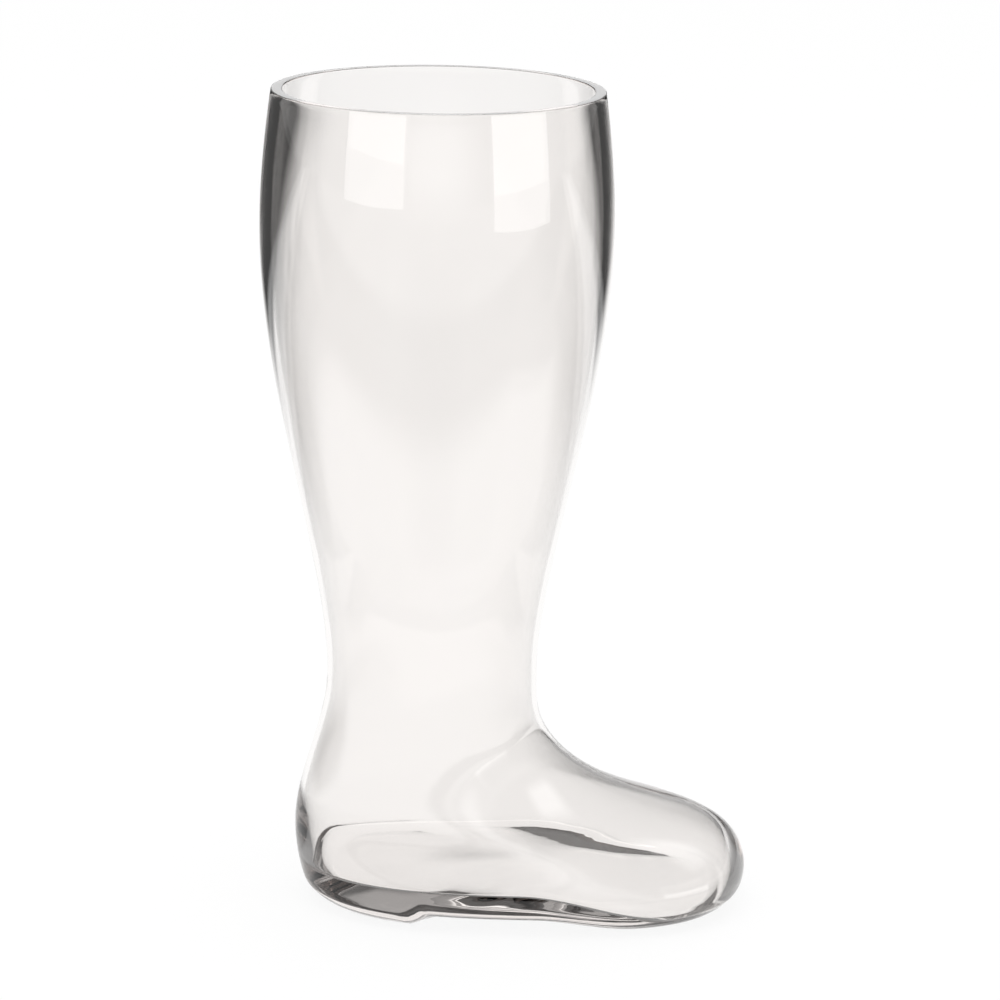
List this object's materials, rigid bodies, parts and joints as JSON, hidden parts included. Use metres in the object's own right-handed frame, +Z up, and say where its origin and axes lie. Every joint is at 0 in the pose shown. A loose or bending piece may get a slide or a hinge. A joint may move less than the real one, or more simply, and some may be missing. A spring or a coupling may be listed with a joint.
{
  "type": "beer boot glass",
  "caption": "Boot-shaped drinking glass: a tall round leg with a swelling calf and open cut rim runs down to a hollow shoe on a thick clear sole and heel",
  "frame": {"origin": "Centre of the bounding box on the table plane, under the instep. The axis of the leg stands at x = -0.027 m.", "axes": "+Z up from the table to the rim, +X towards the toe, +Y to the boot's left"},
  "size_m": [0.1799, 0.126, 0.3],
  "materials": {
    "glass": "clear, smooth and fire polished"
  },
  "bodies": {
    "root": {"rim": "glass", "shaft": "glass", "foot": "glass", "sole": "glass", "heel": "glass"}
  },
  "joints": []
}
